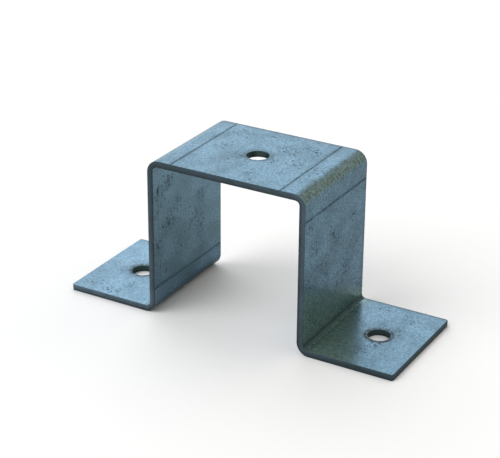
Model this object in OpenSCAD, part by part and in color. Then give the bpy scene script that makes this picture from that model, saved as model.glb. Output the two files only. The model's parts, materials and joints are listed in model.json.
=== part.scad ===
// Square tube clamp: one strip of galvanised sheet folded four times into a saddle.
// The tube lies along Y under the top plate, between the legs, and the two feet bolt down.
// Origin: middle of the clamp on the plane that the feet stand on. X across, Y along the tube, Z up.

/* [Tube] */
// Outside size of the square tube, which is also the height from the feet's plane to the seat
tube_size = 50; // [30:1:100]
// Sideways play left for the tube between the two legs
tube_play = 0.5; // [0:0.1:2]

/* [Sheet] */
// Thickness of the sheet
sheet_t = 2; // [1.5:0.1:4]
// Width of the strip, along the tube
strip_w = 40; // [24:1:80]
// Length of a foot, from the outer face of its leg to its end
foot_l = 30; // [26:1:60]
// Radius of a foot's two corners, seen from above
corner_r = 0.8; // [0.6:0.1:3]

/* [Folds] */
// Inside radius of the four folds, from the nose of the punch
bend_r = 1.4; // [1:0.1:2.5]
// How much thinner the nose presses the sheet in the middle of a fold
fold_thin = 0.3; // [0.1:0.05:0.4]

/* [Holes] */
// Diameter of the three punched holes, for a 6 mm screw
hole_d = 7; // [4:0.1:12]
// Distance of a foot's hole from the side of the tube
hole_out = 18; // [15:0.5:20.5]

/* [Sheared edges] */
// Radius that the blade and the punch draw down on the side they enter
roll_r = 0.2; // [0.1:0.05:0.4]

/* [Die marks] */
// Distance of a mark from the outer corner of its fold
mark_gap = 8.5; // [7.8:0.1:9.2]
// Width of the line that a die shoulder leaves
mark_w = 0.4; // [0.2:0.05:0.6]
// Depth of that line
mark_depth = 0.05; // [0.02:0.01:0.1]

/* [Hidden] */
$fn = 96;
eps = 0.01;
// Middle of the clamp to a leg's inner face and to its outer face
leg_in = (tube_size + tube_play) / 2;
leg_out = leg_in + sheet_t;
// Outer radius of a fold: where the middle is thinner, the outside is rounder than the inside.
// It is kept to whole hundredths, so that every flat meets its fold without a step.
hundredth = 0.01;
fold_r = hundredth * round((bend_r + sheet_t + fold_thin / (sqrt(2) - 1)) / hundredth);
// From the axis of that radius to the two inner faces beside the fold, and to the axis of bend_r
fold_in_r = fold_r - sheet_t;
nose_off = fold_in_r - bend_r;
// Thickness of a fold before its second side is cut to shape
fold_deep = sheet_t + fold_in_r / 2;
// Flat lengths between the folds: half of the top plate, a leg, and a foot without its tip
top_half = leg_in - fold_in_r;
leg_flat = tube_size - fold_in_r - fold_r;
foot_flat = foot_l - fold_in_r - corner_r;
foot_hole_x = tube_size / 2 + hole_out;
// Where a line of mark_w meets a round cutter that is mark_depth deep
mark_r = (mark_w * mark_w / 4 + mark_depth * mark_depth) / (2 * mark_depth);
mark_lift = mark_r - mark_depth;
zinc_colour = [0.62, 0.70, 0.76];

// Edge of the sheet from corner_r inside it: x out to the cut, y from the back side to the struck side.
module edge_profile(depth = sheet_t) {
    difference() {
        square([corner_r, depth]);
        translate([corner_r - roll_r, depth - roll_r])
            difference() {
                square(2 * roll_r);
                circle(roll_r);
            }
    }
}

// Cut across the strip: x through the sheet from the back side, y across the strip.
module strip_section(depth = sheet_t) {
    inner_w = strip_w - 2 * corner_r;
    translate([0, -inner_w / 2])
        square([depth, inner_w]);
    for (side = [0, 1])
        mirror([0, side])
            translate([0, inner_w / 2])
                mirror([1, -1])
                    edge_profile(depth);
}

// The strip runs along +X with its back side on z = 0. Each step hands its far end to the next one.
module flat(length) {
    translate([length, 0, 0]) {
        rotate([0, -90, 0])
            linear_extrude(length)
                strip_section();
        children();
    }
}

// The punch that presses the inside of a fold: two flanks and a round nose, along the fold's axis.
module punch() {
    reach = 2 * fold_in_r;
    linear_extrude(strip_w + 2, center = true)
        translate([nose_off, nose_off]) {
            translate([-reach, -reach]) {
                square([reach + bend_r, reach]);
                square([reach, reach + bend_r]);
            }
            circle(bend_r);
        }
}

// A fold toward the back side: the struck side is its outside, and the punch shapes the back side.
module fold_in() {
    translate([0, 0, -fold_in_r])
        rotate([90, 0, 0])
            difference() {
                rotate_extrude(angle = 90)
                    translate([fold_r - fold_deep, 0])
                        strip_section(fold_deep);
                punch();
            }
    translate([fold_in_r, 0, -fold_in_r])
        rotate([0, 90, 0])
            children();
}

// The struck side as the punch leaves it inside a fold: a short flat, the nose and a short flat.
module pressed_side() {
    translate([nose_off, nose_off, 0])
        rotate_extrude(angle = 90)
            translate([bend_r + fold_deep, 0])
                mirror([1, 0])
                    strip_section(fold_deep);
    for (side = [0, 1])
        mirror([side, -side, 0])
            translate([fold_in_r + fold_deep, nose_off, 0])
                rotate([90, 0, 0])
                    linear_extrude(nose_off)
                        mirror([1, 0])
                            strip_section(fold_deep);
}

// A fold toward the struck side: the struck side is its inside, and the back side is its outside.
module fold_out() {
    translate([0, 0, fold_r])
        rotate([90, 90, 0])
            intersection() {
                pressed_side();
                cylinder(r = fold_r, h = strip_w + 2, center = true);
            }
    translate([fold_r, 0, fold_r])
        rotate([0, -90, 0])
            children();
}

// The last corner_r of a foot: its end edge and two round corners.
module tip() {
    inner_w = strip_w - 2 * corner_r;
    translate([0, inner_w / 2, 0])
        rotate([90, 0, 0])
            linear_extrude(inner_w)
                edge_profile();
    for (side = [0, 1])
        mirror([0, side, 0])
            translate([0, inner_w / 2, 0])
                rotate_extrude(angle = 90)
                    edge_profile();
}

// Half of the strip, from the middle of the top plate to the end of a foot.
module folded_half() {
    translate([0, 0, tube_size])
        flat(top_half)
            fold_in()
                flat(leg_flat)
                    fold_out()
                        flat(foot_flat)
                            tip();
}

// A punched hole through a sheet that lies on z = 0, drawn down at the top.
module punched_hole() {
    hole_r = hole_d / 2;
    translate([0, 0, -eps])
        cylinder(r = hole_r, h = sheet_t + 2 * eps);
    translate([0, 0, sheet_t - roll_r])
        rotate_extrude()
            difference() {
                square([hole_r + roll_r, 2 * roll_r]);
                translate([hole_r + roll_r, 0])
                    circle(roll_r);
            }
}

// The cutter of one die mark: a rod along Y that dips into the face x-y on z = 0.
module die_mark() {
    translate([0, 0, mark_lift])
        rotate([90, 0, 0])
            cylinder(r = mark_r, h = strip_w + 2, center = true);
}

// The four marks of one side, each on the outer side of its fold.
module marks_of_half() {
    top_z = tube_size + sheet_t;
    translate([leg_out - mark_gap, 0, top_z])
        die_mark();
    translate([leg_out, 0, top_z - mark_gap])
        rotate([0, 90, 0])
            die_mark();
    translate([leg_in, 0, mark_gap])
        rotate([0, -90, 0])
            die_mark();
    translate([leg_in + mark_gap, 0, 0])
        rotate([0, 180, 0])
            die_mark();
}

module clamp_bracket() {
    color(zinc_colour)
        difference() {
            union() {
                folded_half();
                mirror([1, 0, 0])
                    folded_half();
            }
            translate([0, 0, tube_size])
                punched_hole();
            for (side = [-1, 1])
                translate([side * foot_hole_x, 0, 0])
                    punched_hole();
            for (side = [0, 1])
                mirror([side, 0, 0])
                    marks_of_half();
        }
}

clamp_bracket();
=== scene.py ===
# %% [markdown]
# # A square tube clamp, from flat blank to folded zinc
# The real clamp starts as a flat strip of galvanised sheet. A punch makes three holes, and a press
# brake folds the strip four times. This lesson follows the same order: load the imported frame, draw
# the blank, mark it, mix its zinc, fold it with Geometry Nodes, and stand it in a plain studio.

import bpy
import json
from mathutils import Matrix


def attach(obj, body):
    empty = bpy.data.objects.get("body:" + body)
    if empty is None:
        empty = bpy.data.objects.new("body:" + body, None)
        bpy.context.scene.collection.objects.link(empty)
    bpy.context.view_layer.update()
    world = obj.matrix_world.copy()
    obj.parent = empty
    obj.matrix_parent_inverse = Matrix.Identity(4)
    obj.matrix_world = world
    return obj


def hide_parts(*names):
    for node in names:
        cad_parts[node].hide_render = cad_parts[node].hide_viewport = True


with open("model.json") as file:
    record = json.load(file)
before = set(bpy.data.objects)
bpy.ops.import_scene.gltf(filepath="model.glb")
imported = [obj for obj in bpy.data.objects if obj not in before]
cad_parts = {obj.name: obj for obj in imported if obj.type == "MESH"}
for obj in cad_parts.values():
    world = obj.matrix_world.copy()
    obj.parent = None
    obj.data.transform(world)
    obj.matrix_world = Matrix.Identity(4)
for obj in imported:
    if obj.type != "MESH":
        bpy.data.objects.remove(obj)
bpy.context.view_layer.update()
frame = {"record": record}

import json
from math import ceil, copysign, cos, exp, hypot, pi, radians, sin, sqrt

import bpy
from mathutils import Matrix, Vector

mm = 0.001


# %% [markdown]
# ## Sizes
# Everything on a folded part follows from a few numbers: the tube, the sheet, the folds and the
# traces of the tools. They could be typed wherever they are used, but then a change would miss half
# of them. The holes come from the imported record, so the sheet and the mounts can't drift apart.

# %% Name the sizes
tube, play = 50 * mm, 0.5 * mm
sheet, strip, foot = 2 * mm, 40 * mm, 30 * mm
bend_in, fold_thin = 1.4 * mm, 0.3 * mm
corner_r, roll_r = 0.8 * mm, 0.2 * mm
mark_gap, mark_w, mark_depth = 8.5 * mm, 0.4 * mm, 0.05 * mm

mounts = {m["name"]: m for m in frame["record"]["mounts"]}
hole_r = mounts["top_hole"]["dims"]["r_mm"] * mm
foot_hole_x = mounts["foot_holes"]["dims"]["spacing_x_mm"] * mm / 2
print(f"holes {2 * hole_r / mm:.1f} mm wide, those of the feet {foot_hole_x / mm:.1f} mm from the middle")

# %% [markdown]
# ## From folded sizes to flat ones
# The nose of the brake's punch presses the sheet thinner in the middle of a fold, so the outside of
# a fold is rounder than its inside. The length of a fold is taken along the neutral line, the layer
# of the sheet that neither stretches nor shrinks. Every place on the blank is then a distance from
# its middle: s along the strip, y across it, and n up through the sheet from its back side.

# %% Work out the flat lengths
neutral = 0.4
leg_in = (tube + play) / 2
leg_out = leg_in + sheet
fold_out_r = round((bend_in + sheet + fold_thin / (sqrt(2) - 1)) / mm, 2) * mm
fold_in_r = fold_out_r - sheet
arc = (bend_in + neutral * sheet) * pi / 2 + 2 * (fold_in_r - bend_in)
leg_flat = tube - fold_in_r - fold_out_r

top_half = leg_in - fold_in_r
leg_start = top_half + arc
leg_end = leg_start + leg_flat
foot_start = leg_end + arc
blank_half = foot_start + foot - fold_in_r
foot_hole_s = foot_start + foot_hole_x - leg_out - fold_in_r
print(f"flat blank {2 * blank_half / mm:.1f} x {strip / mm:.0f} x {sheet / mm:.0f} mm")

# %% [markdown]
# ## Where the tools touched
# The shoulders of the die leave a line on either side of a fold, on the face that becomes its
# outside: the struck face at the top folds, the back face at the feet. Kept as places on the flat
# blank, marks and holes are plain distances, which they wouldn't be on the folded shape.

# %% Place the marks and the holes
mark_reach = mark_gap - fold_out_r
marks_struck = [top_half - mark_reach, leg_start + mark_reach]
marks_back = [leg_end - mark_reach, foot_start + mark_reach]
hole_places = (-foot_hole_s, 0.0, foot_hole_s)


def on_struck(n):
    """Whether a height is on the struck side of the sheet, the one that punch and blade entered."""
    return n > sheet / 2


def mark_distance(s, n):
    """How far the nearest die mark is, on this side of the sheet."""
    marks = marks_struck if on_struck(n) else marks_back
    return min(abs(abs(s) - m) for m in marks)


def hole_distance(s, y):
    """How far the wall of the nearest hole is."""
    return min(hypot(s - hole_s, y) for hole_s in hole_places) - hole_r


print("die marks, mm from the middle:", [round(m / mm, 1) for m in marks_struck + marks_back])

# %% [markdown]
# ## Columns and rows of the grid
# A mesh bends well only where it has edges to bend along. An even grid that is fine enough for a fold
# would spend most of its faces on the flats. So the columns are close in the folds and at the marks
# and wide elsewhere, with a guard line beside each fold and edge that keeps the flats flat. Each hole
# gets a square patch, which is filled later.

# %% Choose the steps
patch, patch_cells = 6 * mm, 20
flat_step, fold_steps, corner_steps = 1.0 * mm, 20, 5
slack = 1e-6


def column_step(s):
    """The widest column allowed at a place along the strip."""
    if top_half < s < leg_start or leg_end < s < foot_start:
        return arc / fold_steps
    if s < patch or abs(s - foot_hole_s) < patch:
        return 2 * patch / patch_cells
    return corner_r / corner_steps if s > blank_half - corner_r else flat_step


def row_step(y):
    """The widest row allowed at a place across the strip."""
    if y < patch:
        return 2 * patch / patch_cells
    return corner_r / corner_steps if y > strip / 2 - corner_r else flat_step


def stations(keys, step):
    """Fills the gaps between the keys with even steps, and mirrors the list to the other half."""
    keys = sorted(keys)
    half = keys[:1]
    for a, b in zip(keys, keys[1:]):
        count = max(1, ceil((b - a) / step((a + b) / 2) - slack))
        half += [a + (b - a) * k / count for k in range(1, count + 1)]
    return [-v for v in half[:0:-1]] + half


print(f"steps of {flat_step / mm} mm on the flats and {arc / fold_steps / mm:.2f} mm in the folds")

# %% [markdown]
# ## Lines that the grid must have
# Some lines have to be in the grid: the ends of the folds, the marks, the corners and the patches. Even
# steps alone would miss them and blur them. So they are listed as keys, with the steps in between.

# %% Space the columns and the rows
edge_guard, fold_guard = 0.1 * mm, 0.3 * mm
groove_shares = (-1.1, -0.5, -0.36, -0.2, 0.0, 0.2, 0.36, 0.5, 1.1)

column_keys = [0, patch, foot_hole_s - patch, foot_hole_s + patch]
column_keys += [m + mark_w * share for m in marks_struck + marks_back for share in groove_shares]
for fold_line, side in ((top_half, -1), (leg_start, 1), (leg_end, -1), (foot_start, 1)):
    column_keys += [fold_line, fold_line + side * fold_guard]
column_keys += [blank_half - corner_r, blank_half - roll_r - edge_guard, blank_half - roll_r]
row_keys = [0, patch, strip / 2 - corner_r, strip / 2 - roll_r - edge_guard, strip / 2 - roll_r]

columns = stations(column_keys, column_step)
rows = stations(row_keys, row_step)
print(f"{len(columns)} columns and {len(rows)} rows")

# %% [markdown]
# ## The sheared edge
# A blade or a punch draws the sheet down where it enters, cuts a smooth band, and tears the rest.
# A bevel would round both sides alike. So the profile of a cut edge is listed once, with a round
# shoulder, a smooth band and a torn band that leans back a little, and is swept along every cut.

# %% List the edge profile
shoulder_angles = (15, 32, 50, 70, 90)
lean_step = 0.01 * mm
# Each row of the smooth and the torn band is: steps of lean, height as a share of the sheet, how torn.
bands = [(0, 0.56, 0.0), (0, 0.46, 0.6), (2, 0.40, 0.8), (3, 0.20, 1.2), (4, 0.03, 2.2), (6, 0.0, 2.2)]

# Each step of the profile is: distance out from where the shoulder starts, height, how torn.
edge_profile = []
for angle in shoulder_angles:
    turn = radians(angle)
    edge_profile.append((roll_r * sin(turn), sheet - roll_r * (1 - cos(turn)), 0.0))
edge_profile += [(roll_r - lean * lean_step, share * sheet, torn) for lean, share, torn in bands]
print(f"{len(edge_profile)} rings on every sheared edge")

# %% [markdown]
# ## An empty blank
# The blank could be a cube with booleans, but those leave long thin faces that crack in a fold. Built
# by hand it has quads everywhere. A small class collects its points and faces, and keeps for each
# point whether a tool cut it and how torn the metal is there.

# %% Start the blank
class Blank:
    """Points, faces and cut marks of the flat sheet."""

    def __init__(self):
        self.points, self.faces, self.cut, self.torn = [], [], [], []

    def add(self, s, y, n, cut=0.0, torn=0.0):
        """Adds a point and returns its number."""
        self.points.append((s, y, n))
        self.cut.append(cut)
        self.torn.append(torn)
        return len(self.points) - 1

    def quads(self, ring_a, ring_b):
        """Joins two closed rings of points with quads."""
        for k in range(len(ring_a)):
            j = (k + 1) % len(ring_a)
            self.faces.append((ring_a[k], ring_a[j], ring_b[j], ring_b[k]))


blank = Blank()
print("a blank with", len(blank.points), "points")

# %% [markdown]
# ## Corners and grooves
# The corners of the feet are slightly round, and the die marks are pressed into the metal. A bump
# texture could only hint at either. Here the corner squares of the grid are mapped onto a quarter of
# a disc, and the points near a mark sink into a shallow round groove.

# %% Shape the corners and the grooves
def rounded(s, y):
    """Moves a grid point of a foot's corner square onto the round corner."""
    r = corner_r - roll_r
    a = (abs(s) - (blank_half - corner_r)) / r
    b = (abs(y) - (strip / 2 - corner_r)) / r
    if a <= 0 or b <= 0:
        return s, y
    a, b = a * sqrt(1 - b * b / 2), b * sqrt(1 - a * a / 2)
    return copysign(blank_half - corner_r + a * r, s), copysign(strip / 2 - corner_r + b * r, y)


def groove_depth(s, n):
    """How deep the die marks of one side are at a place along the strip."""
    return mark_depth * max(0.0, 1 - (2 * mark_distance(s, n) / mark_w) ** 2)


print(f"deepest groove {groove_depth(marks_struck[0], sheet) / mm:.2f} mm")

# %% [markdown]
# ## The two faces
# The struck face and the back face are two grids with the same columns and rows, so that their edges
# can be joined point by point. The squares round the holes stay open for now. Faces point outwards,
# which is why the back face lists its corners the other way round.

# %% Lay the two grids
tiny = 1e-7


def in_patch(s, y):
    """Whether a place lies inside the square patch of a hole."""
    return abs(y) < patch - tiny and any(abs(s - hole_s) < patch - tiny for hole_s in hole_places)


def grid_side(face):
    """The points of one face, by column and row."""
    inward = -1 if on_struck(face) else 1
    index = {}
    for i, s in enumerate(columns):
        for j, y in enumerate(rows):
            if not in_patch(s, y):
                index[i, j] = blank.add(*rounded(s, y), face + inward * groove_depth(s, face))
    return index


struck = grid_side(sheet)
back = grid_side(0.0)
for i in range(len(columns) - 1):
    for j in range(len(rows) - 1):
        if not in_patch((columns[i] + columns[i + 1]) / 2, (rows[j] + rows[j + 1]) / 2):
            cell = [(i, j), (i + 1, j), (i + 1, j + 1), (i, j + 1)]
            blank.faces.append([struck[k] for k in cell])
            blank.faces.append([back[k] for k in reversed(cell)])
print(f"two grids: {len(blank.points)} points, {len(blank.faces)} faces")

# %% [markdown]
# ## The outline
# The shear cut the strip out along its outline. A swept profile joins the two faces there, so the edge
# closes the mesh with no seam. Solidify would give a square edge and would lose the torn band.

# %% Sweep the outline
def grid_loop(index, i0, i1, j0, j1):
    """The points round a rectangle of cells, counter-clockwise seen from the struck side."""
    loop = [(i, j0) for i in range(i0, i1)] + [(i1, j) for j in range(j0, j1)]
    loop += [(i, j1) for i in range(i1, i0, -1)] + [(i0, j) for j in range(j1, j0, -1)]
    return [index[k] for k in loop]


def sweep_edge(top_loop, bottom_loop, way_off):
    """Joins the two faces along a loop with the edge profile; way_off points off the sheet."""
    ring = top_loop
    for step, height, torn in edge_profile:
        new = []
        for v in top_loop:
            s, y, _ = blank.points[v]
            ds, dy = way_off(s, y)
            new.append(blank.add(s + ds * step, y + dy * step, height, 1.0, torn))
        blank.quads(new, ring)
        ring = new
    blank.quads(bottom_loop, ring)


def off_outline(s, y):
    """The way off the sheet at its outline, also round the corners."""
    ds = s - max(-blank_half + corner_r, min(blank_half - corner_r, s))
    dy = y - max(-strip / 2 + corner_r, min(strip / 2 - corner_r, y))
    return ds / hypot(ds, dy), dy / hypot(ds, dy)


outline = (0, len(columns) - 1, 0, len(rows) - 1)
sweep_edge(grid_loop(struck, *outline), grid_loop(back, *outline), off_outline)
print(f"with its outline: {len(blank.points)} points")

# %% [markdown]
# ## The holes
# A punch went through three times. A boolean would leave fans of thin triangles, which shade badly on
# a flat face. Instead the square patch turns into a circle over a few rings, which keeps the quads
# even, and the same edge profile then runs down the wall of the hole.

# %% Ring the holes
ring_shares = (0.80, 0.62, 0.46, 0.34, 0.24, 0.16, 0.09, 0.04, 0.0)
rim_r = hole_r + roll_r
first_corner = radians(-135)


def nearest(values, v):
    """The number of the value that is nearest to v."""
    return min(range(len(values)), key=lambda k: abs(values[k] - v))


def fill_patch(index, hole_s, face):
    """Fills the patch of a hole with rings that turn from its square into the round rim."""
    i0, i1 = nearest(columns, hole_s - patch), nearest(columns, hole_s + patch)
    square = grid_loop(index, i0, i1, nearest(rows, -patch), nearest(rows, patch))
    ring = square
    for share in ring_shares:
        new = []
        for k, v in enumerate(square):
            angle = first_corner + 2 * pi * k / len(square)
            rim_s, rim_y = hole_s + rim_r * cos(angle), rim_r * sin(angle)
            s, y, _ = blank.points[v]
            new.append(blank.add(rim_s + (s - rim_s) * share, rim_y + (y - rim_y) * share, face))
        blank.quads(*((ring, new) if on_struck(face) else (new, ring)))
        ring = new
    return ring


print(len(ring_shares), "rings in each patch")

# %% Sweep the walls of the holes
def into_hole(hole_s):
    """The way off the sheet at the rim of a hole: toward its middle."""
    def way_off(s, y):
        length = hypot(hole_s - s, y)
        return (hole_s - s) / length, -y / length
    return way_off


for hole_s in hole_places:
    rim_top = fill_patch(struck, hole_s, sheet)
    rim_bottom = fill_patch(back, hole_s, 0.0)
    sweep_edge(rim_top[::-1], rim_bottom[::-1], into_hole(hole_s))
print(f"blank: {len(blank.points)} points, {len(blank.faces)} faces")

# %% [markdown]
# ## Rubbed spots
# Sheet from the rack is never clean: it has rubbed spots and black specks in loose groups. A painted
# image would show every speck, at one size only. Here the mesh keeps just where they gather, as a
# soft amount on each point, and the material later breaks that up into specks. This and the next
# marks are rules that take a place s, y, n, so that one loop can run them all.

# %% Place the rubbed spots
# Each spot is: its place along the blank and across it and its reach, all in mm, and its strength.
struck_spots = [
    # Top plate
    (-13, 3, 4, 0.9), (4, 9, 4, 0.9), (7, 8, 4, 0.9), (-5, -5, 5, 1.0), (6, -2, 4, 0.8),
    (14, 0, 4, 0.9), (21, -2, 4, 1.0), (14, 10, 4, 0.9), (10, 13, 4, 0.8), (-14, 14, 5, 0.7),
    (-4, 18, 4, 0.4), (5, -14, 5, 0.6),
    # Outside of the right leg
    (43, -2, 3, 1.0), (46, 0, 4, 0.9), (35, -16, 3, 0.8), (44, -13, 4, 0.9), (50, -8, 4, 0.9),
    (57, 8, 5, 0.9), (56, -5, 4, 0.9), (61, 3, 4, 1.0), (67, 18, 4, 0.8), (42, 12, 3, 1.0),
    (65, -13, 5, 0.6), (53, 15, 4, 0.5), (54, -17, 4, 1.0),
    # Right foot and its fold
    (73, 11, 4, 1.0), (75, 3, 4, 1.0), (89, -12, 4, 0.9), (85, 16, 4, 0.8), (95, 13, 4, 0.8),
    (91, -6, 4, 0.9), (93, 4, 4, 0.8),
    # Left foot, and outside of the left leg
    (-102, -8, 4, 0.8), (-87, -12, 4, 0.8), (-96, -2, 3, 0.8), (-91, -17, 4, 0.7), (-100, -16, 4, 0.7),
    (-60, 6, 8, 0.7), (-40, -8, 7, 0.7),
]
back_spots = [
    # Inside of the left leg
    (-36, -17, 4, 1.0), (-34, -12, 4, 1.0), (-38, -1, 3, 1.0), (-45, 7, 4, 1.0), (-43, -6, 4, 0.9),
    (-46, -10, 4, 1.0), (-42, -19, 4, 1.0), (-49, -13, 5, 1.0), (-52, 5, 6, 1.0), (-58, 8, 4, 1.0),
    (-57, -5, 6, 1.0), (-54, -18, 4, 1.0), (-62, -17, 4, 0.8), (-63, 7, 4, 0.8),
    # Inside of the right leg, and underside of the top plate
    (48, 2, 9, 0.6), (62, -9, 6, 0.7), (8, 6, 8, 0.5), (-12, -9, 7, 0.6),
]
print(len(struck_spots) + len(back_spots), "rubbed spots")

# %% Spread dirt round the spots
def bell(x, width, power=2):
    """One at zero and fading out past a width; a higher power has a flatter top."""
    return exp(-abs(x / width) ** power)


def rubbed(s, y, n):
    """Dirt that gathers round the spots of this side."""
    total = 0.0
    for along_mm, across_mm, reach, strength in struck_spots if on_struck(n) else back_spots:
        total += strength * bell(hypot(s / mm - along_mm, y / mm - across_mm), reach / sqrt(2))
    return min(1.0, total)


print(f"dirt beside the top hole: {rubbed(rim_r, 0.0, sheet):.2f}")

# %% [markdown]
# ## Traces of punch and die
# The punch's stripper leaves a black ring of grease round each hole, and the shoulders of the die
# leave dark lines. A texture would need a UV map to find these places. On the flat blank they are
# distances from a hole or a line, so each is one short rule, and the fold carries it along.

# %% Mark the holes and the die lines
ring_gap, ring_width, ring_strength, ring_lean = 0.75 * mm, 0.5 * mm, 1.15, 0.4
blur_width = 1.3 * mm
halo_reach, halo_strength = 2.5 * mm, 0.4
top_share = 0.5
line_spread = 0.95


def smeared(s, y, n):
    """A ring of grease round each hole: blurred on the left foot, and fainter on the top plate."""
    d = hole_distance(s, y)
    if s < -leg_end:
        ring = bell(d, blur_width)
    else:
        ring = bell(d - ring_gap, ring_width) * (ring_strength - ring_lean * y / (d + hole_r))
    halo = halo_strength * exp(-max(0.0, d) / halo_reach)
    return (ring + halo) * (1.0 if abs(s) > leg_end else top_share)


def pressed(s, y, n):
    """One in a die mark, fading out beside it."""
    return bell(mark_distance(s, n), line_spread * mark_w, 4)


print(f"smear at a foot's rim: {smeared(foot_hole_s + rim_r, 0.0, sheet):.2f}")

# %% [markdown]
# ## Traces of folding, and painted light on the folds
# Outside a fold the zinc is stretched until it crazes, and that band also carries a painted olive
# reflection and painted shade. Inside a fold the sheet is squeezed; there lie painted shade, two
# painted dark lines and a painted highlight line. A share of the arc, 0 where a fold starts and 1
# where it ends, tells where on the fold a place is, and each rule is a bell round one share.

# %% Mark the folds
def fold_share(s, n, outer):
    """How far round its fold a place is, for the fold that has this side outside or inside."""
    start = top_half if on_struck(n) == outer else leg_end
    return (abs(s) - start) / arc


def stretched(s, y, n):
    """Crazed zinc on the outer side of a fold, with a painted olive reflection and painted shade on it;
    the feet's folds have less of it.
    """
    middle, width, foot_part = 0.51, 0.44, 0.4
    craze_and_reflection = bell(fold_share(s, n, True) - middle, width)
    return craze_and_reflection if on_struck(n) else foot_part * craze_and_reflection


def squeezed(s, y, n):
    """Painted shade in the crease on the inner side of a fold, with a softer end up the outside of a leg.
    """
    middle, width, soft_width = 0.47, 0.26, 0.28
    d = fold_share(s, n, False) - middle
    if d < 0 and on_struck(n):
        return bell(d, soft_width)
    return bell(d, width, 4)


def dented(s, y, n):
    """Two painted dark lines of shade inside a fold, the second one mostly at the front."""
    first, second, width, level, lean = 0.36, 0.95, 0.06, 0.2, 1.2
    share = fold_share(s, n, False)
    strength = max(0, level - lean * y / strip)
    return bell(share - first, width) + bell(share - second, width) * strength


def burnished(s, y, n):
    """A painted highlight line inside a fold, stronger at the front."""
    middle, width, level, lean = 0.75, 0.03, 0.7, 0.7
    return bell(fold_share(s, n, False) - middle, width) * (level - lean * y / strip)


print(f"stretch in the middle of a top fold: {stretched(top_half + arc / 2, 0.0, sheet):.2f}")

# %% [markdown]
# ## Painted reflection and shade
# A painted reflection, darker and greenish, lies in the corner of the right leg and its foot, where
# each mirrors the other, and reaches further out at the front. A trace of the same tint is painted
# inside the other leg. Painted shade sits under the folds that stand on the ground. Both start
# gradually and then stay, so they are ramps where the marks above are bells.

# %% Spread the painted reflection and shade
trace = 0.15
reflection_soft, reflection_least = 1.0 * mm, 0.5 * mm
foot_reflection_reach, foot_slant = 5.5 * mm, 0.45
leg_reflection_reach, leg_slant = 9 * mm, 0.4


def filmed(s, y, n):
    """Painted reflection past the right lower fold, where leg and foot mirror each other, further out at
    the front, and a trace inside the left leg.
    """
    if s < 0:
        return trace if not on_struck(n) and abs(s) < leg_end - mark_reach else 0.0
    if not on_struck(n):
        return 0.0
    share = fold_share(s, n, False)
    past = max(-share, share - 1, 0.0) * arc
    reach = foot_reflection_reach - foot_slant * y if share > 0.5 else leg_reflection_reach - leg_slant * y
    return 1 / (1 + exp((past - max(reflection_least, reach)) / reflection_soft))


def soiled(s, y, n):
    """Painted shade on the outer side of a foot's fold and under the foot, most of it at the back."""
    first, rise, level, lean = 0.2, 2, 0.7, 0.6
    if on_struck(n):
        return 0.0
    return max(0.0, min(1.0, first + rise * fold_share(s, n, True))) * (level + lean * y / strip)


print(f"grease on the right foot's front: {filmed(foot_start, -strip / 2, sheet):.2f}")

# %% [markdown]
# ## Light and shade along the strip
# No two faces of the clamp are equally light: the feet are lighter, one leg is darker, and some cut
# edges are darker. This is painted light and shade, set face by face. A material for each face would
# show a seam at every fold. A short list of stops along the strip gives soft changes within one material.

# %% List the stops
edge_light_stops = [
    (-foot_hole_s, 0.0), (-leg_start, 0.64), (0.0, 0.61),
    (leg_start, 0.38), (leg_end, 0.45), (foot_hole_s, 0.68),
]
zinc_light_stops = [
    (-foot_start, 1.0), (-leg_end, 0.04), (-leg_start, 0.85), (-top_half, 0.44),
    (top_half, 0.37), (leg_start, 0.0), (leg_end, 0.12), (foot_start, 0.72),
]


def along(stops, s):
    """Reads a value off a list of (place, value) stops, in a straight line between two of them."""
    for (s0, v0), (s1, v1) in zip(stops, stops[1:]):
        if s <= s1:
            return v0 + (v1 - v0) * max(0.0, s - s0) / (s1 - s0)
    return stops[-1][1]


print(f"polish in the middle of the top plate: {along(zinc_light_stops, 0.0):.2f}")

# %% Paint light and shade on the zinc and the edges
front_light = 0.9
rear_band_width = 0.7 * mm


def tarnished(s, y, n):
    """Painted light and shade on the cut edges: how dark they are along the strip."""
    return along(edge_light_stops, s)


def polished(s, y, n):
    """Painted light and shade: how light the zinc is on each face; below the mark inside a leg it grows
    lighter toward the front.
    """
    if on_struck(n):
        return along(zinc_light_stops, s)
    level = along(zinc_light_stops, max(-leg_end, min(leg_end, s)))
    if abs(s) < leg_end - mark_reach:
        return level
    return min(1.0, level + front_light * max(0.0, -2 * y / strip))


def rear_edge_band(y, n):
    """A dark band on the struck side, along the rear edge of the strip."""
    return bell(strip / 2 - y, rear_band_width) if on_struck(n) else 0.0


print(f"tarnish in the middle of the strip: {tarnished(0.0, 0.0, sheet):.2f}")

# %% [markdown]
# ## The blank as an object
# So far the blank is only lists. from_pydata turns them into a mesh in one go, which is faster than
# adding faces with operators. Each mark becomes an attribute with one number per point, which goes
# through the fold with its point and which the material can read by name.

# %% Make the blank an object
rules = [rubbed, smeared, pressed, stretched, squeezed, dented, burnished]
rules += [filmed, soiled, tarnished, polished]
sheet_marks = {rule.__name__: [rule(s, y, n) for s, y, n in blank.points] for rule in rules}
sheet_marks["torn"] = blank.torn
# The cut mark also takes a dark band along the rear edge of the strip.
sheet_marks["cut"] = [max(c, rear_edge_band(y, n)) for c, (s, y, n) in zip(blank.cut, blank.points)]
sheet_marks["bored"] = [
    c if hole_distance(s, y) < roll_r else 0.0 for c, (s, y, n) in zip(blank.cut, blank.points)
]

blank_mesh = bpy.data.meshes.new("clamp_sheet")
blank_mesh.from_pydata(blank.points, [], blank.faces)
for name, values in sheet_marks.items():
    blank_mesh.attributes.new(name, "FLOAT", "POINT").data.foreach_set("value", values)
print("faces that had to be mended:", blank_mesh.validate())
clamp = bpy.data.objects.new("clamp_sheet", blank_mesh)
bpy.context.scene.collection.objects.link(clamp)
print(clamp.name, "has the marks", ", ".join(sheet_marks))

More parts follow.
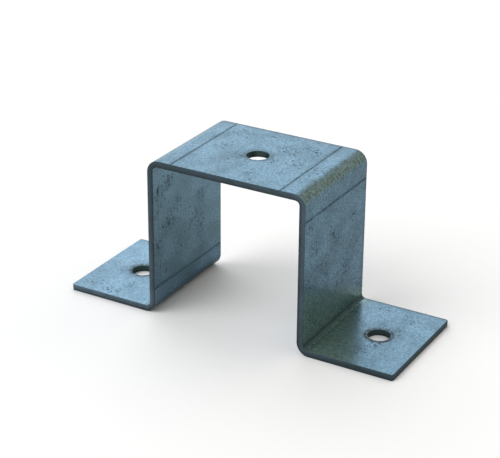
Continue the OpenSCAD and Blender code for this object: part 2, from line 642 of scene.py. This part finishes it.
# %% [markdown]
# ## Tools for node trees
# Materials, groups and Geometry Nodes are all trees of nodes, and typing every node out would hide
# what they say. A few helpers make nodes and feed them, so that the trees below read like sums. A
# socket can be fed with a plain value or with the output of another node.

# %% Make and feed nodes
def new_node(tree, kind, **settings):
    """Adds a node and sets its properties."""
    made = tree.nodes.new(kind)
    for name, value in settings.items():
        setattr(made, name, value)
    return made


def feed(tree, socket, value):
    """Links an output to a socket, or sets the socket's own value."""
    if isinstance(value, bpy.types.NodeSocket):
        tree.links.new(value, socket)
    else:
        socket.default_value = value


def maths(tree, operation, a, b=0.0, c=0.0, limit=False):
    """One Math node; MULTIPLY_ADD gives a times b plus c."""
    made = new_node(tree, "ShaderNodeMath", operation=operation, use_clamp=limit)
    for socket, value in zip(made.inputs, (a, b, c)):
        feed(tree, socket, value)
    return made.outputs[0]


def new_group(name, inputs, outputs):
    """A shader node group with named sockets, and its two ends; every output is a number."""
    tree = bpy.data.node_groups.new(name, "ShaderNodeTree")
    for label, kind in inputs.items():
        tree.interface.new_socket(label, in_out="INPUT", socket_type=kind)
    for label in outputs:
        tree.interface.new_socket(label, in_out="OUTPUT", socket_type="NodeSocketFloat")
    return tree, tree.nodes.new("NodeGroupInput"), tree.nodes.new("NodeGroupOutput")


print("helpers:", new_node.__name__, feed.__name__, maths.__name__, new_group.__name__)

# %% [markdown]
# ## Tools for patterns
# Grain and dirt on metal need noise at a real scale, masks with soft ends, and colours that are mixed
# by a mask. An image could hold all of it, but at one size only. These helpers make it from nodes.

# %% Make patterns and blends
def placed(tree, vector, stretch):
    """The vector with its pattern stretched along an axis."""
    made = new_node(tree, "ShaderNodeMapping")
    feed(tree, made.inputs["Vector"], vector)
    made.inputs["Scale"].default_value = stretch
    return made.outputs[0]


def noise(tree, vector, scale, detail, rough, stretch=(1, 1, 1), out="Fac"):
    """Noise with a scale per metre."""
    made = new_node(tree, "ShaderNodeTexNoise")
    feed(tree, made.inputs["Vector"], placed(tree, vector, stretch))
    for label, value in (("Scale", scale), ("Detail", detail), ("Roughness", rough)):
        made.inputs[label].default_value = value
    return made.outputs[out]


def between(tree, value, low, high):
    """Zero below low, one above high, smooth in between."""
    made = new_node(tree, "ShaderNodeMapRange", interpolation_type="SMOOTHSTEP")
    feed(tree, made.inputs["Value"], value)
    made.inputs["From Min"].default_value = low
    made.inputs["From Max"].default_value = high
    return made.outputs["Result"]


def tint(tree, share, under, over):
    """Mixes two colours by a share; a Mix node keeps its colour sockets after those for numbers."""
    made = new_node(tree, "ShaderNodeMix", data_type="RGBA")
    for number, value in ((0, share), (6, under), (7, over)):
        feed(tree, made.inputs[number], value)
    return made.outputs[2]


print("helpers:", placed.__name__, noise.__name__, between.__name__, tint.__name__)

# %% [markdown]
# ## Grain
# Zinc on rolled sheet has soft clouds, a fine grain and flecks between the two in size. They are three
# layers of noise at the real scale, each turned into a clear mask. As a node group they have one name
# and one input, the flat coordinates of the blank, so the grain runs round a fold without a break.

# %% Build the grain
# Each layer is: scale per metre, detail, roughness, stretch, and the noise levels of its mask's ends.
grain_layers = {
    "Cloud": (150, 4.0, 0.5, (1, 0.7, 1), 0.3, 0.7),
    "Fine": (2200, 2.0, 0.7, (0.85, 1, 1), 0.42, 0.58),
    "Fleck": (1050, 3.0, 0.75, (0.8, 1, 1), 0.42, 0.62),
}
grain, grain_entry, grain_exit = new_group("zinc_grain", {"Flat": "NodeSocketVector"}, grain_layers)
for label, (scale, detail, rough, stretch, low, high) in grain_layers.items():
    layer_noise = noise(grain, grain_entry.outputs["Flat"], scale, detail, rough, stretch)
    feed(grain, grain_exit.inputs[label], between(grain, layer_noise, low, high))
print("group", grain.name, "with", len(grain.nodes), "nodes")

# %% [markdown]
# ## Specks
# The specks are dirt: single dots with clean metal between them, which plain noise can't give. Each
# cell of a Voronoi pattern throws a die against the amount of dirt there, and may get a dot. Small
# pepper and larger blots are the same rule twice, and a little noise pushes the dots out of round.

# %% Build the specks
speck_inputs = {"Flat": "NodeSocketVector", "Amount": "NodeSocketFloat"}
specks, speck_entry, speck_exit = new_group("shop_specks", speck_inputs, ["Specks"])
wobble, wobble_scale, wobble_detail, wobble_rough = 0.9 * mm, 1400, 2.0, 0.6
place = speck_entry.outputs["Flat"]
push = new_node(specks, "ShaderNodeVectorMath", operation="MULTIPLY_ADD")
feed(specks, push.inputs[0], noise(specks, place, wobble_scale, wobble_detail, wobble_rough, out="Color"))
push.inputs[1].default_value = (wobble, wobble, 0)
feed(specks, push.inputs[2], place)


def dots(cell, stretch, radius, clean, dirt):
    """One dot in each cell whose die falls below clean plus dirt times the amount."""
    smallest, faintest, die_soft, rim_soft = 0.6, 0.4, 0.12, 0.5
    cells = new_node(specks, "ShaderNodeTexVoronoi", voronoi_dimensions="2D")
    feed(specks, cells.inputs["Vector"], placed(specks, push.outputs[0], stretch))
    cells.inputs["Scale"].default_value = 1 / cell
    dice = new_node(specks, "ShaderNodeSeparateColor")
    feed(specks, dice.inputs[0], cells.outputs["Color"])
    share = maths(specks, "MULTIPLY_ADD", speck_entry.outputs["Amount"], dirt, clean)
    present = between(specks, maths(specks, "SUBTRACT", share, dice.outputs[0]), 0.0, die_soft)
    size = maths(specks, "MULTIPLY_ADD", dice.outputs[1], radius, radius * smallest)
    inside = maths(specks, "SUBTRACT", 1.0, maths(specks, "DIVIDE", cells.outputs["Distance"], size))
    depth = maths(specks, "MULTIPLY_ADD", dice.outputs[2], 1 - faintest, faintest)
    dot = maths(specks, "MULTIPLY", present, depth)
    return maths(specks, "MULTIPLY", dot, between(specks, inside, 0.0, rim_soft))


pepper = dots(0.8 * mm, (0.75, 1, 1), radius=0.34, clean=0.05, dirt=0.85)
blots = dots(2.4 * mm, (0.55, 1, 1), radius=0.2, clean=-0.35, dirt=0.95)
feed(specks, speck_exit.inputs["Specks"], maths(specks, "MAXIMUM", pepper, blots))
print("group", specks.name, "with", len(specks.nodes), "nodes")

# %% [markdown]
# ## The zinc's inputs
# The clamp has one material, because it is one sheet. It could be split by face, but real zinc doesn't
# change at a face's border. So the material reads the marks from the mesh, and feeds both groups with
# the flat coordinates, which the folding line will store under the name flat.

# %% Read the marks
zinc = bpy.data.materials.new("galvanised_zinc")
zinc.use_nodes = True
tree = zinc.node_tree
shader = tree.nodes["Principled BSDF"]

mark = {}
for name in sheet_marks:
    mark[name] = new_node(tree, "ShaderNodeAttribute", attribute_name=name).outputs["Fac"]
flat = new_node(tree, "ShaderNodeAttribute", attribute_name="flat").outputs["Vector"]
grains = new_node(tree, "ShaderNodeGroup", node_tree=grain)
feed(tree, grains.inputs["Flat"], flat)
cloud, fine, fleck = (grains.outputs[label] for label in grain_layers)
spotted = new_node(tree, "ShaderNodeGroup", node_tree=specks)
feed(tree, spotted.inputs["Flat"], flat)
feed(tree, spotted.inputs["Amount"], mark["rubbed"])
speck = spotted.outputs["Specks"]
print("zinc reads", len(mark), "marks")

# %% [markdown]
# ## Clean zinc
# Under the dirt, zinc is blue-grey and cloudy, and lighter where painted light lies on it. The fine
# grain is darker and bluer than the metal round it. A single mix to one dark colour would grey out the
# bright parts, so the grain multiplies whatever colour is there.

# %% Tint the clean zinc
dull_dark, dull_light = (0.100, 0.172, 0.221, 1), (0.139, 0.241, 0.315, 1)
bright_dark, bright_light = (0.158, 0.254, 0.327, 1), (0.187, 0.303, 0.391, 1)
grain_depth, light_relief = -0.48, 0.1
grain_tint = (1.15, 0.97, 0.88)

dull = tint(tree, cloud, dull_dark, dull_light)
bright = tint(tree, cloud, bright_dark, bright_light)
# painted light and shade: each face's lightness blends dull and bright zinc
clean = tint(tree, mark["polished"], dull, bright)

depth = maths(tree, "MULTIPLY_ADD", mark["polished"], light_relief, grain_depth)
darker = new_node(tree, "ShaderNodeVectorMath", operation="SCALE")
darker.inputs[0].default_value = grain_tint
feed(tree, darker.inputs["Scale"], maths(tree, "MULTIPLY", fine, depth))
grained = new_node(tree, "ShaderNodeVectorMath", operation="MULTIPLY_ADD")
for socket, value in zip(grained.inputs, (clean, darker.outputs[0], clean)):
    feed(tree, socket, value)
colour = grained.outputs[0]
print("clean zinc:", len(tree.nodes), "nodes so far")

# %% [markdown]
# ## Coats over the zinc
# What lies on the zinc comes in an order: a painted reflection and rubbing first, then the folds with
# their crazing, painted reflection, painted shade and painted highlight, painted shade under the feet's
# folds, the tools and the specks. Each is a coat with a mask, and part of the mask follows the grain,
# so that its border breaks up like dirt on metal and doesn't fade like paint from a can.

# %% Lay the coats
def coat(under, mask, share, bare, over, grit):
    """Lays a colour over another: mask times share, of which bare doesn't follow the grit."""
    grainy = maths(tree, "MULTIPLY_ADD", grit, share - bare, bare)
    return tint(tree, maths(tree, "MULTIPLY", mask, grainy, limit=True), under, over)


rub_grey, crease_shade_dark = (0.040, 0.076, 0.100, 1), (0.027, 0.056, 0.064, 1)
craze_and_reflection_light, craze_and_shade_dark = (0.152, 0.234, 0.240, 1), (0.050, 0.074, 0.068, 1)
crease_line_black, highlight_bright = (0.008, 0.017, 0.019, 1), (0.420, 0.530, 0.500, 1)
grease_and_shade_black, line_black = (0.014, 0.022, 0.025, 1), (0.009, 0.028, 0.040, 1)
speck_black = (0.006, 0.019, 0.032, 1)
reflection_dark, reflection_light = (0.112, 0.170, 0.140, 1), (0.192, 0.294, 0.278, 1)
reflection_tint = tint(tree, fleck, reflection_dark, reflection_light)
fleck_part, craze_low, craze_high = 0.5, 0.55, 1.15
craze_and_reflection = maths(tree, "MULTIPLY_ADD", fleck, fleck_part, mark["stretched"])
craze_and_reflection = between(tree, craze_and_reflection, craze_low, craze_high)

# Each coat is: its mask, its share, the part of that without grit, its colour and its grit.
coats = [
    # painted reflection of the right leg and its foot in each other
    (mark["filmed"], 0.9, 0.9, reflection_tint, fine),
    (mark["rubbed"], 0.3, 0.0, rub_grey, fleck),
    # crazing, with a painted olive reflection and painted shade on the bend
    (craze_and_reflection, 0.85, 0.85, craze_and_reflection_light, fine),
    (craze_and_reflection, 0.85, 0.0, craze_and_shade_dark, fine),
    # painted shade in the crease inside a fold
    (mark["squeezed"], 1.0, 0.95, crease_shade_dark, fine),
    # two painted dark lines of shade in the crease
    (mark["dented"], 0.8, 0.5, crease_line_black, fleck),
    # a painted highlight line in the crease
    (mark["burnished"], 0.9, 0.0, highlight_bright, fleck),
    # painted shade under the folds that stand on the ground
    (mark["soiled"], 0.7, 0.7, grease_and_shade_black, fine),
    (mark["smeared"], 1.0, 0.5, grease_and_shade_black, fleck),
    (mark["pressed"], 1.0, 0.45, line_black, fleck),
    (speck, 0.95, 0.95, speck_black, fine),
]
for mask, share, bare, over, grit in coats:
    colour = coat(colour, mask, share, bare, over, grit)
print(len(coats), "coats on the zinc")

# %% [markdown]
# ## Cut edges
# The shear leaves bare steel, which has no zinc. It is brightest in the smooth band and dark where the
# metal tore, and how light it is along the strip is painted light and shade. The edge could be an object
# of its own, but then a crack would show beside it. The mark named cut switches from the zinc's colour
# to the steel's within one surface, and also lays a dark band along the rear edge of the strip.

# %% Colour the cut edges
steel_light, steel_dark = (0.098, 0.145, 0.178, 1), (0.017, 0.030, 0.038, 1)
steel_stain, torn_dark = (0.034, 0.044, 0.044, 1), (0.028, 0.035, 0.039, 1)
bore_grey = (0.046, 0.076, 0.072, 1)

# painted light and shade on the cut edges along the strip
steel = tint(tree, mark["tarnished"], steel_light, steel_dark)
steel = coat(steel, cloud, 0.7, 0.2, steel_stain, fleck)
steel = tint(tree, mark["bored"], steel, bore_grey)
steel = coat(steel, mark["torn"], 0.6, 0.3, torn_dark, fine)
feed(tree, shader.inputs["Base Color"], tint(tree, mark["cut"], colour, steel))
print("colour done:", len(tree.nodes), "nodes so far")

# %% [markdown]
# ## Gloss and relief
# Zinc shines like satin: smoother in its bright clouds, rougher on specks, marks and cuts. Roughness
# follows the same masks as the colour, so dirt looks dull and not only dark. The grain is far too
# small for geometry, so it is bump. What is the same all over is set on the shader's own sockets.

# %% Set the gloss and the relief
satin, cloud_gloss, speck_rough, tool_rough = 0.31, -0.06, 0.25, 0.16
rough = maths(tree, "MULTIPLY_ADD", cloud, cloud_gloss, satin)
rough = maths(tree, "MULTIPLY_ADD", speck, speck_rough, rough)
tooled = maths(tree, "MAXIMUM", mark["cut"], mark["pressed"])
feed(tree, shader.inputs["Roughness"], maths(tree, "MULTIPLY_ADD", tooled, tool_rough, rough))
shader.inputs["Metallic"].default_value = 0.65
shader.inputs["Specular IOR Level"].default_value = 0.15
shader.inputs["Specular Tint"].default_value = (0.65, 0.72, 0.76, 1)

speck_pit, bump_strength, bump_height = -0.6, 0.12, 0.05 * mm
bump = new_node(tree, "ShaderNodeBump")
bump.inputs["Strength"].default_value = bump_strength
bump.inputs["Distance"].default_value = bump_height
feed(tree, bump.inputs["Height"], maths(tree, "MULTIPLY_ADD", speck, speck_pit, fine))
feed(tree, shader.inputs["Normal"], bump.outputs["Normal"])
print("zinc has", len(tree.nodes), "nodes")

# %% [markdown]
# ## The press brake
# Folding by hand-typed coordinates would hide the rule, and a Simple Deform modifier can't thin the
# sheet. A press brake has just one rule: past the fold line the sheet turns about an axis, in
# proportion along the arc and as a whole beyond it. That rule is one Geometry Nodes group. It works on
# both halves at once, because it folds by distance from the middle.

# %% Measure the turn
fold = bpy.data.node_groups.new("press_brake_fold", "GeometryNodeTree")
fold.interface.new_socket("Sheet", in_out="INPUT", socket_type="NodeSocketGeometry")
for label in ("Fold Line", "Arc Length", "Axis Height", "Turn", "Outer Radius", "Thinning"):
    fold.interface.new_socket(label, in_out="INPUT", socket_type="NodeSocketFloat")
fold.interface.new_socket("Sheet", in_out="OUTPUT", socket_type="NodeSocketGeometry")
fold_entry, fold_exit = fold.nodes.new("NodeGroupInput"), fold.nodes.new("NodeGroupOutput")
given = fold_entry.outputs


def calc(operation, a, b=0.0, c=0.0):
    """A Math node of the fold group."""
    return maths(fold, operation, a, b, c)


here = new_node(fold, "ShaderNodeSeparateXYZ")
feed(fold, here.inputs[0], fold.nodes.new("GeometryNodeInputPosition").outputs[0])
x, y, z = here.outputs
away = calc("ABSOLUTE", x)
past = calc("MAXIMUM", calc("SUBTRACT", away, given["Fold Line"]), 0.0)
on_arc = calc("MINIMUM", past, given["Arc Length"])
beyond = calc("SUBTRACT", past, on_arc)
angle = calc("MULTIPLY", calc("DIVIDE", on_arc, given["Arc Length"]), pi / 2)
sine, cosine = calc("SINE", angle), calc("COSINE", angle)
print("turn measured with", len(fold.nodes), "nodes")

# %% [markdown]
# ## Thinning and moving
# A point keeps its distance from the fold's axis, except that the punch's nose presses the inside of
# the arc toward its outside, most of all in the middle. The square of a sine grows and fades just so.
# Then the point moves: round the axis by the angle, and straight on by what lies beyond the arc.

# %% Move the sheet
radius = calc("MULTIPLY", calc("SUBTRACT", z, given["Axis Height"]), given["Turn"])
swell = calc("SINE", calc("MULTIPLY", angle, 2.0))
thinning = calc("MULTIPLY", calc("MULTIPLY", swell, swell), given["Thinning"])
radius = calc("MULTIPLY_ADD", calc("SUBTRACT", given["Outer Radius"], radius), thinning, radius)

start = calc("SUBTRACT", away, past)
out_x = calc("MULTIPLY_ADD", beyond, cosine, calc("MULTIPLY_ADD", radius, sine, start))
rise = calc("SUBTRACT", calc("MULTIPLY", radius, cosine), calc("MULTIPLY", beyond, sine))
out_z = calc("MULTIPLY_ADD", rise, given["Turn"], given["Axis Height"])

there = new_node(fold, "ShaderNodeCombineXYZ")
for socket, value in zip(there.inputs, (calc("MULTIPLY", out_x, calc("SIGN", x)), y, out_z)):
    feed(fold, socket, value)
move = fold.nodes.new("GeometryNodeSetPosition")
feed(fold, move.inputs["Geometry"], given["Sheet"])
feed(fold, move.inputs["Position"], there.outputs[0])
feed(fold, fold_exit.inputs["Sheet"], move.outputs["Geometry"])
print("fold group:", len(fold.nodes), "nodes")

# %% [markdown]
# ## The folding line
# The strip goes through the brake twice: first the feet fold up, then the legs fold down. The sizes
# are named inputs of the line, so the same tree could fold another clamp. Before the first fold, every
# point stores its flat place, because afterwards nobody could tell where on the blank it was.

# %% Name the inputs and fold twice
press_sizes = {
    "Leg Fold": top_half, "Foot Fold": leg_end, "Arc Length": arc, "Outer Radius": fold_out_r,
    "Sheet": sheet, "Thinning": fold_thin / sheet, "Seat Height": tube,
}
line = bpy.data.node_groups.new("fold_the_clamp", "GeometryNodeTree")
line.interface.new_socket("Blank", in_out="INPUT", socket_type="NodeSocketGeometry")
ids = {}
for label in press_sizes:
    ids[label] = line.interface.new_socket(label, in_out="INPUT", socket_type="NodeSocketFloat").identifier
line.interface.new_socket("Clamp", in_out="OUTPUT", socket_type="NodeSocketGeometry")
line_entry, line_exit = line.nodes.new("NodeGroupInput"), line.nodes.new("NodeGroupOutput")

keep = new_node(line, "GeometryNodeStoreNamedAttribute", data_type="FLOAT_VECTOR", domain="POINT")
feed(line, keep.inputs["Geometry"], line_entry.outputs["Blank"])
feed(line, keep.inputs["Name"], "flat")
feed(line, keep.inputs["Value"], line.nodes.new("GeometryNodeInputPosition").outputs[0])
work = keep.outputs["Geometry"]
foot_axis = line_entry.outputs["Outer Radius"]
leg_axis = maths(line, "SUBTRACT", line_entry.outputs["Sheet"], line_entry.outputs["Outer Radius"])
for fold_line, axis, turn in (("Foot Fold", foot_axis, -1.0), ("Leg Fold", leg_axis, 1.0)):
    step = new_node(line, "GeometryNodeGroup", node_tree=fold)
    feed(line, step.inputs["Sheet"], work)
    feed(line, step.inputs["Fold Line"], line_entry.outputs[fold_line])
    feed(line, step.inputs["Axis Height"], axis)
    feed(line, step.inputs["Turn"], turn)
    for label in ("Arc Length", "Outer Radius", "Thinning"):
        feed(line, step.inputs[label], line_entry.outputs[label])
    work = step.outputs["Sheet"]
print("line with", len(line.nodes), "nodes after two folds")

# %% [markdown]
# ## The end of the line
# The back of the blank lies at height zero, so the folded clamp hangs below that plane. It is lifted by
# the height of the tube, so that the feet stand on the ground, shaded smooth and given its zinc.
# Nothing is instanced here, but Realize Instances makes sure of plain geometry for what comes after.

# %% Stand it up and dress it
lift = new_node(line, "ShaderNodeCombineXYZ")
feed(line, lift.inputs["Z"], line_entry.outputs["Seat Height"])
stand = line.nodes.new("GeometryNodeTransform")
feed(line, stand.inputs["Translation"], lift.outputs[0])
smooth = line.nodes.new("GeometryNodeSetShadeSmooth")
real = line.nodes.new("GeometryNodeRealizeInstances")
dress = line.nodes.new("GeometryNodeSetMaterial")
feed(line, dress.inputs["Material"], zinc)
for step in (stand, smooth, real, dress):
    feed(line, step.inputs["Geometry"], work)
    work = step.outputs["Geometry"]
feed(line, line_exit.inputs["Clamp"], work)
print("folding line:", len(line.nodes), "nodes")

# %% [markdown]
# ## The finished piece
# The modifier could stay live, but a finished part carries none: its place is in its mesh. So the line
# runs once, its result becomes a plain mesh, and the modifier goes. Then the imported solid that this
# piece stands for is hidden, and the piece is hung on the empty of the body it rides on.

# %% Fold it and hand it to the frame
brake = clamp.modifiers.new("press_brake", "NODES")
brake.node_group = line
for label, value in press_sizes.items():
    brake[ids[label]] = value
folded = bpy.data.meshes.new_from_object(clamp.evaluated_get(bpy.context.evaluated_depsgraph_get()))
clamp.modifiers.remove(brake)
clamp.data = folded
folded.name = "clamp_sheet_folded"
bpy.data.meshes.remove(blank_mesh)
span = [max(v.co[k] for v in folded.vertices) - min(v.co[k] for v in folded.vertices) for k in range(3)]
print("folded size in mm:", [round(v / mm, 3) for v in span])

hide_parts("clamp_bracket")
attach(clamp, "root")
print("faces:", len(folded.polygons), "material:", [m.name for m in folded.materials])

# %% [markdown]
# ## Floor
# The clamp stands on plain white paper, which takes its shadow and shows in its metal. A curved
# backdrop isn't needed, because the floor is wide enough to fill the view. It lies a hair below the
# feet, so that the two surfaces don't flicker where they touch.

# %% Lay the floor
floor_half, hair = 4.0, 0.05 * mm
corners = [(floor_half * i, floor_half * j, 0) for i, j in ((-1, -1), (1, -1), (1, 1), (-1, 1))]
floor_mesh = bpy.data.meshes.new("floor")
floor_mesh.from_pydata(corners, [], [(0, 1, 2, 3)])
floor = bpy.data.objects.new("floor", floor_mesh)
floor.location.z = -hair
bpy.context.scene.collection.objects.link(floor)

paper = bpy.data.materials.new("white_paper")
paper.use_nodes = True
paper_shader = paper.node_tree.nodes["Principled BSDF"]
paper_shader.inputs["Base Color"].default_value = (0.82, 0.82, 0.82, 1)
paper_shader.inputs["Roughness"].default_value = 0.9
paper_shader.inputs["Specular IOR Level"].default_value = 0.1
floor_mesh.materials.append(paper)
print("floor:", 2 * floor_half, "m wide")

# %% [markdown]
# ## Surroundings
# Metal shows its surroundings more than its own colour. Lamps and cards could stand round the clamp,
# but soft patches in the world do the same with nothing to hide: a bright wall behind on the left, a
# duller warm one behind on the right, and a darker room in front, in an even grey.

# %% Light the studio
room_grey, front_grey = (0.75, 0.75, 0.75, 1), (0.40, 0.40, 0.40, 1)
wall_white, wall_warm = (2.36, 2.41, 2.50, 1), (1.06, 0.97, 0.80, 1)
world = bpy.data.worlds.new("studio")
bpy.context.scene.world = world
world.use_nodes = True
sky = world.node_tree
look = sky.nodes.new("ShaderNodeTexCoord").outputs["Generated"]


def patch_of_light(direction, low, high):
    """A soft patch of the surroundings: one round a direction, zero where its cosine is under low."""
    dot = new_node(sky, "ShaderNodeVectorMath", operation="DOT_PRODUCT")
    feed(sky, dot.inputs[0], look)
    dot.inputs[1].default_value = Vector(direction).normalized()
    return between(sky, dot.outputs["Value"], low, high)


shade = tint(sky, patch_of_light((-0.66, 0.62, 0.55), 0.76, 1.00), room_grey, wall_white)
shade = tint(sky, patch_of_light((0.46, 0.78, 0.43), 0.77, 0.97), shade, wall_warm)
shade = tint(sky, patch_of_light((0.3, -0.9, 0.1), 0.2, 0.9), shade, front_grey)
feed(sky, sky.nodes["Background"].inputs["Color"], shade)
print("world nodes:", len(sky.nodes))

# %% [markdown]
# ## Key light
# One broad light from the front left gives the clamp its soft shadow. A sun with a wide angle is even
# over the whole object, where an area lamp would fall off. Its level is plain: together with the
# surroundings, a colour on the clamp renders about as it is written.

# %% Hang the key light
key_from = Vector((-0.46, -0.65, 0.82))
key_data = bpy.data.lights.new("key", "SUN")
key_data.energy = 1.6
key_data.angle = radians(50)
key = bpy.data.objects.new("key", key_data)
key.rotation_euler = key_from.to_track_quat("Z", "Y").to_euler()
bpy.context.scene.collection.objects.link(key)
print(f"key light of strength {key_data.energy:.1f}")

# %% [markdown]
# ## Camera
# The camera stands where the photographer stood. A Track To constraint could aim it, but a real camera
# is also tilted a little about its own axis. So it is placed by three things that were fitted to the
# edges of the clamp: where the eye is, what it looks at, and the roll.

# %% Place the camera
image_w, image_h, focal_px = 500, 458, 1604.23
eye = Vector((223.245, -391.554, 237.253)) * mm
aim = Vector((-2.593, 0.0, 26.705)) * mm
roll = radians(0.432)

camera_data = bpy.data.cameras.new("camera")
camera_data.sensor_fit = "HORIZONTAL"
camera_data.lens = focal_px / image_w * camera_data.sensor_width
camera_data.clip_start = 10 * mm
camera = bpy.data.objects.new("camera", camera_data)
facing = (eye - aim).to_track_quat("Z", "Y").to_matrix().to_4x4()
camera.matrix_world = Matrix.Translation(eye) @ facing @ Matrix.Rotation(roll, 4, "Z")
bpy.context.scene.collection.objects.link(camera)
bpy.context.scene.camera = camera
bpy.context.scene.view_settings.view_transform = "Standard"
print(f"lens {camera_data.lens:.1f} mm for a picture of {image_w} x {image_h}")
